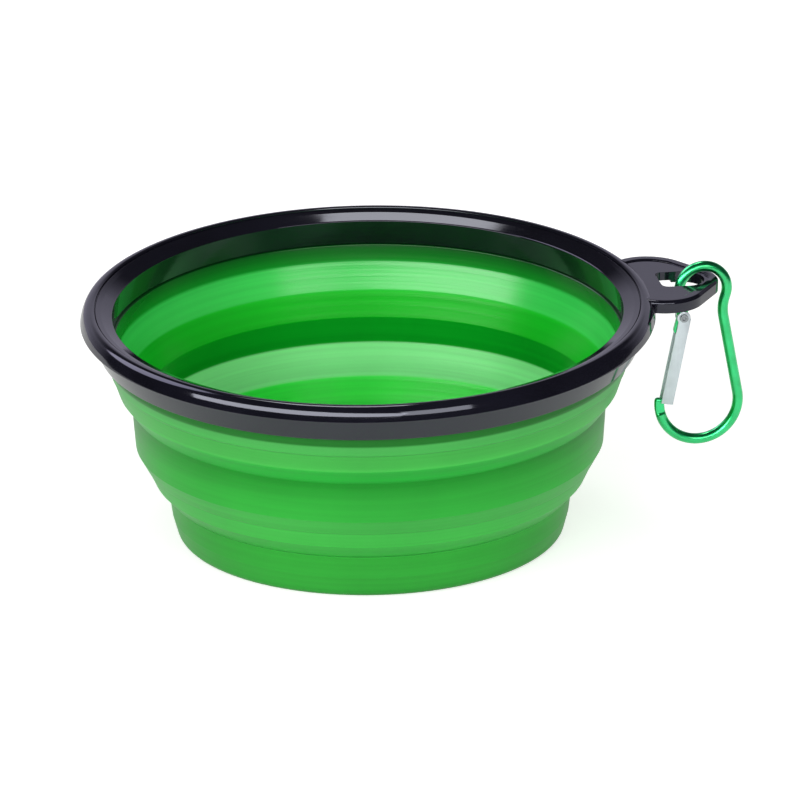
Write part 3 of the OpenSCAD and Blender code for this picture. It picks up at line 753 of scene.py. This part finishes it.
# A pair ending in EDGE says where a light starts and where it is full, as cosines of the angle
# from its middle. WALL_TOP says where the wall starts to fade and where it ends, as a ray's rise.
SEEN_WHITE = (1, 1, 0.985, 1)
WALL_EDGE = (0.55, 0.85)
WALL_TOP = (0.36, 0.5)
WINDOW_AZIMUTH = math.radians(-125)
WINDOW_ELEVATION = math.radians(40)
WINDOW_EDGE = (0.94, 0.955)
ROOM_AND_WINDOW = (0.05, 5.0)
MIRRORED_TINT = (0.49, 0.47, 0.58, 1)
CARD_AZIMUTH = math.radians(60)
CARD_DROP = 1.2
CARD_EDGE = (0, 1)
AWAY_AND_CARD = (0.42, 1.4)

TABLE_R = 0.4
TABLE_DROP = 0.0001
TABLE_GLOW = 0.6
TABLE_MIRRORED = 0.2


def direction(azimuth, elevation):
    """Unit vector from the bowl towards a place in the studio."""
    return Vector((math.sin(azimuth) * math.cos(elevation), -math.cos(azimuth) * math.cos(elevation),
                   math.sin(elevation)))


def photo_camera():
    """Camera that stands at the photograph's angle, aimed so that the bowl sits in its place."""
    towards = direction(VIEW_AZIMUTH, VIEW_ELEVATION)
    level = Vector((math.cos(VIEW_AZIMUTH), math.sin(VIEW_AZIMUTH), 0))
    upright = towards.cross(level)
    right = level * math.cos(VIEW_ROLL) - upright * math.sin(VIEW_ROLL)
    up = upright * math.cos(VIEW_ROLL) + level * math.sin(VIEW_ROLL)
    aim = MOUTH_CENTRE + right * MOUTH_LEFT_OF_CENTRE - up * MOUTH_ABOVE_CENTRE
    data = bpy.data.cameras.new("photo_camera")
    data.type = "ORTHO"
    data.ortho_scale = FIELD_WIDTH
    camera = bpy.data.objects.new("photo_camera", data)
    turn = Matrix((right, up, towards)).transposed().to_4x4()
    camera.matrix_world = Matrix.Translation(aim + towards * CAMERA_DISTANCE) @ turn
    bpy.context.scene.collection.objects.link(camera)
    bpy.context.scene.camera = camera


def soft_box(name, azimuth, elevation, distance, width, height, power):
    """Rectangular soft box that faces the bowl, its angles in degrees from the line of sight."""
    data = bpy.data.lights.new(name, "AREA")
    data.shape, data.size, data.size_y, data.energy = "RECTANGLE", width, height, power
    lamp = bpy.data.objects.new(name, data)
    out = direction(VIEW_AZIMUTH + math.radians(azimuth), math.radians(elevation))
    lamp.matrix_world = Matrix.Translation(LAMP_AIM + out * distance) @ (
        out.to_track_quat("Z", "Y").to_matrix().to_4x4())
    bpy.context.scene.collection.objects.link(lamp)


def pale_room():
    """World: white to the lens; where it is mirrored, a dim room with one pale wall behind the
    bowl and a window high up at the left; and otherwise soft even light, stronger low down on
    the right, as from a white card there."""
    world = bpy.data.worlds.new("pale_room")
    bpy.context.scene.world = world
    world.use_nodes = True
    nodes, links = world.node_tree.nodes, world.node_tree.links
    nodes.clear()
    way = nodes.new("ShaderNodeTexCoord").outputs["Generated"]

    def towards(place, edge, levels):
        """A level that goes from the first value to the second as the ray turns towards a place."""
        dot, level = nodes.new("ShaderNodeVectorMath"), nodes.new("ShaderNodeMapRange")
        dot.operation, dot.inputs[1].default_value = "DOT_PRODUCT", place
        level.inputs["From Min"].default_value, level.inputs["From Max"].default_value = edge
        level.inputs["To Min"].default_value, level.inputs["To Max"].default_value = levels
        links.new(way, dot.inputs[0])
        links.new(dot.outputs["Value"], level.inputs["Value"])
        return level.outputs["Result"]

    def lit(strength, color):
        """Background light of a strength and colour."""
        light = nodes.new("ShaderNodeBackground")
        light.inputs["Color"].default_value = color
        if isinstance(strength, bpy.types.NodeSocket):
            links.new(strength, light.inputs["Strength"])
        else:
            light.inputs["Strength"].default_value = strength
        return light.outputs[0]

    def chosen(share, first, second):
        """The first light where the share is 0, and the second where it is 1."""
        mix = nodes.new("ShaderNodeMixShader")
        links.new(share, mix.inputs["Fac"])
        links.new(first, mix.inputs[1])
        links.new(second, mix.inputs[2])
        return mix.outputs[0]

    def worked(operation, *values):
        """Result of a maths node on two or three values or sockets."""
        math_node = nodes.new("ShaderNodeMath")
        math_node.operation = operation
        for socket, value in zip(math_node.inputs, values):
            if isinstance(value, bpy.types.NodeSocket):
                links.new(value, socket)
            else:
                socket.default_value = value
        return math_node.outputs[0]

    behind = towards(direction(VIEW_AZIMUTH + math.pi, 0), WALL_EDGE, (0, 1))
    low = towards((0, 0, 1), WALL_TOP, (1, 0))
    window = direction(VIEW_AZIMUTH + WINDOW_AZIMUTH, WINDOW_ELEVATION)
    pane = towards(window, WINDOW_EDGE, ROOM_AND_WINDOW)
    mirrored = lit(worked("MULTIPLY_ADD", behind, low, pane), MIRRORED_TINT)
    card = direction(VIEW_AZIMUTH + CARD_AZIMUTH, 0) - Vector((0, 0, CARD_DROP))
    even = lit(towards(card, CARD_EDGE, AWAY_AND_CARD), (1, 1, 1, 1))
    seen = lit(1.0, SEEN_WHITE)
    ray = nodes.new("ShaderNodeLightPath").outputs
    mirror_ray = worked("MAXIMUM", ray["Is Glossy Ray"], ray["Is Transmission Ray"])
    room = chosen(ray["Is Camera Ray"], chosen(mirror_ray, even, mirrored), seen)
    links.new(room, nodes.new("ShaderNodeOutputWorld").inputs["Surface"])


def pale_table():
    """Table top: white laminate that glows to the lens, less so where it is mirrored, and still
    takes the bowl's shadow."""
    bm = bmesh.new()
    bmesh.ops.create_circle(bm, cap_ends=True, radius=TABLE_R, segments=64)
    bmesh.ops.translate(bm, verts=bm.verts, vec=(0, 0, -TABLE_DROP))
    table = finished("table_top", bm)
    material, shader, add, links = new_material("table_white")
    place = add("ShaderNodeTexCoord").outputs["Object"]
    mottle = add("ShaderNodeTexNoise", {"Vector": place, "Scale": 40, "Detail": 2}).outputs["Fac"]
    level = add("ShaderNodeMapRange", {"Value": mottle, "To Min": 0.78, "To Max": 0.8})
    links.new(level.outputs["Result"], shader.inputs["Base Color"])
    shader.inputs["Roughness"].default_value = 0.7
    shader.inputs["Specular IOR Level"].default_value = 0.0
    shader.inputs["Emission Color"].default_value = (1, 1, 0.98, 1)
    ray = add("ShaderNodeLightPath").outputs
    mirror_ray = add("ShaderNodeMath", {0: ray["Is Glossy Ray"], 1: ray["Is Transmission Ray"]},
                     operation="MAXIMUM").outputs[0]
    dim = add("ShaderNodeMath", {0: mirror_ray, 1: TABLE_MIRRORED}, operation="MULTIPLY").outputs[0]
    glow = add("ShaderNodeMath", {0: ray["Is Camera Ray"], 1: TABLE_GLOW, 2: dim},
               operation="MULTIPLY_ADD")
    links.new(glow.outputs[0], shader.inputs["Emission Strength"])
    table.data.materials.append(material)


photo_camera()
pale_room()
pale_table()
# Azimuth, elevation, distance in metres, width, height, and power in watts
soft_box("front_left_box", -30, 20.5, 1.3, 2.3, 0.4, 17.2)
soft_box("front_right_box", 27, 19.5, 1.3, 0.6, 0.4, 2.7)
soft_box("back_top_box", 187.3, 62, 1.1, 0.29, 0.34, 1.4)

bpy.context.scene.view_settings.view_transform = "Standard"
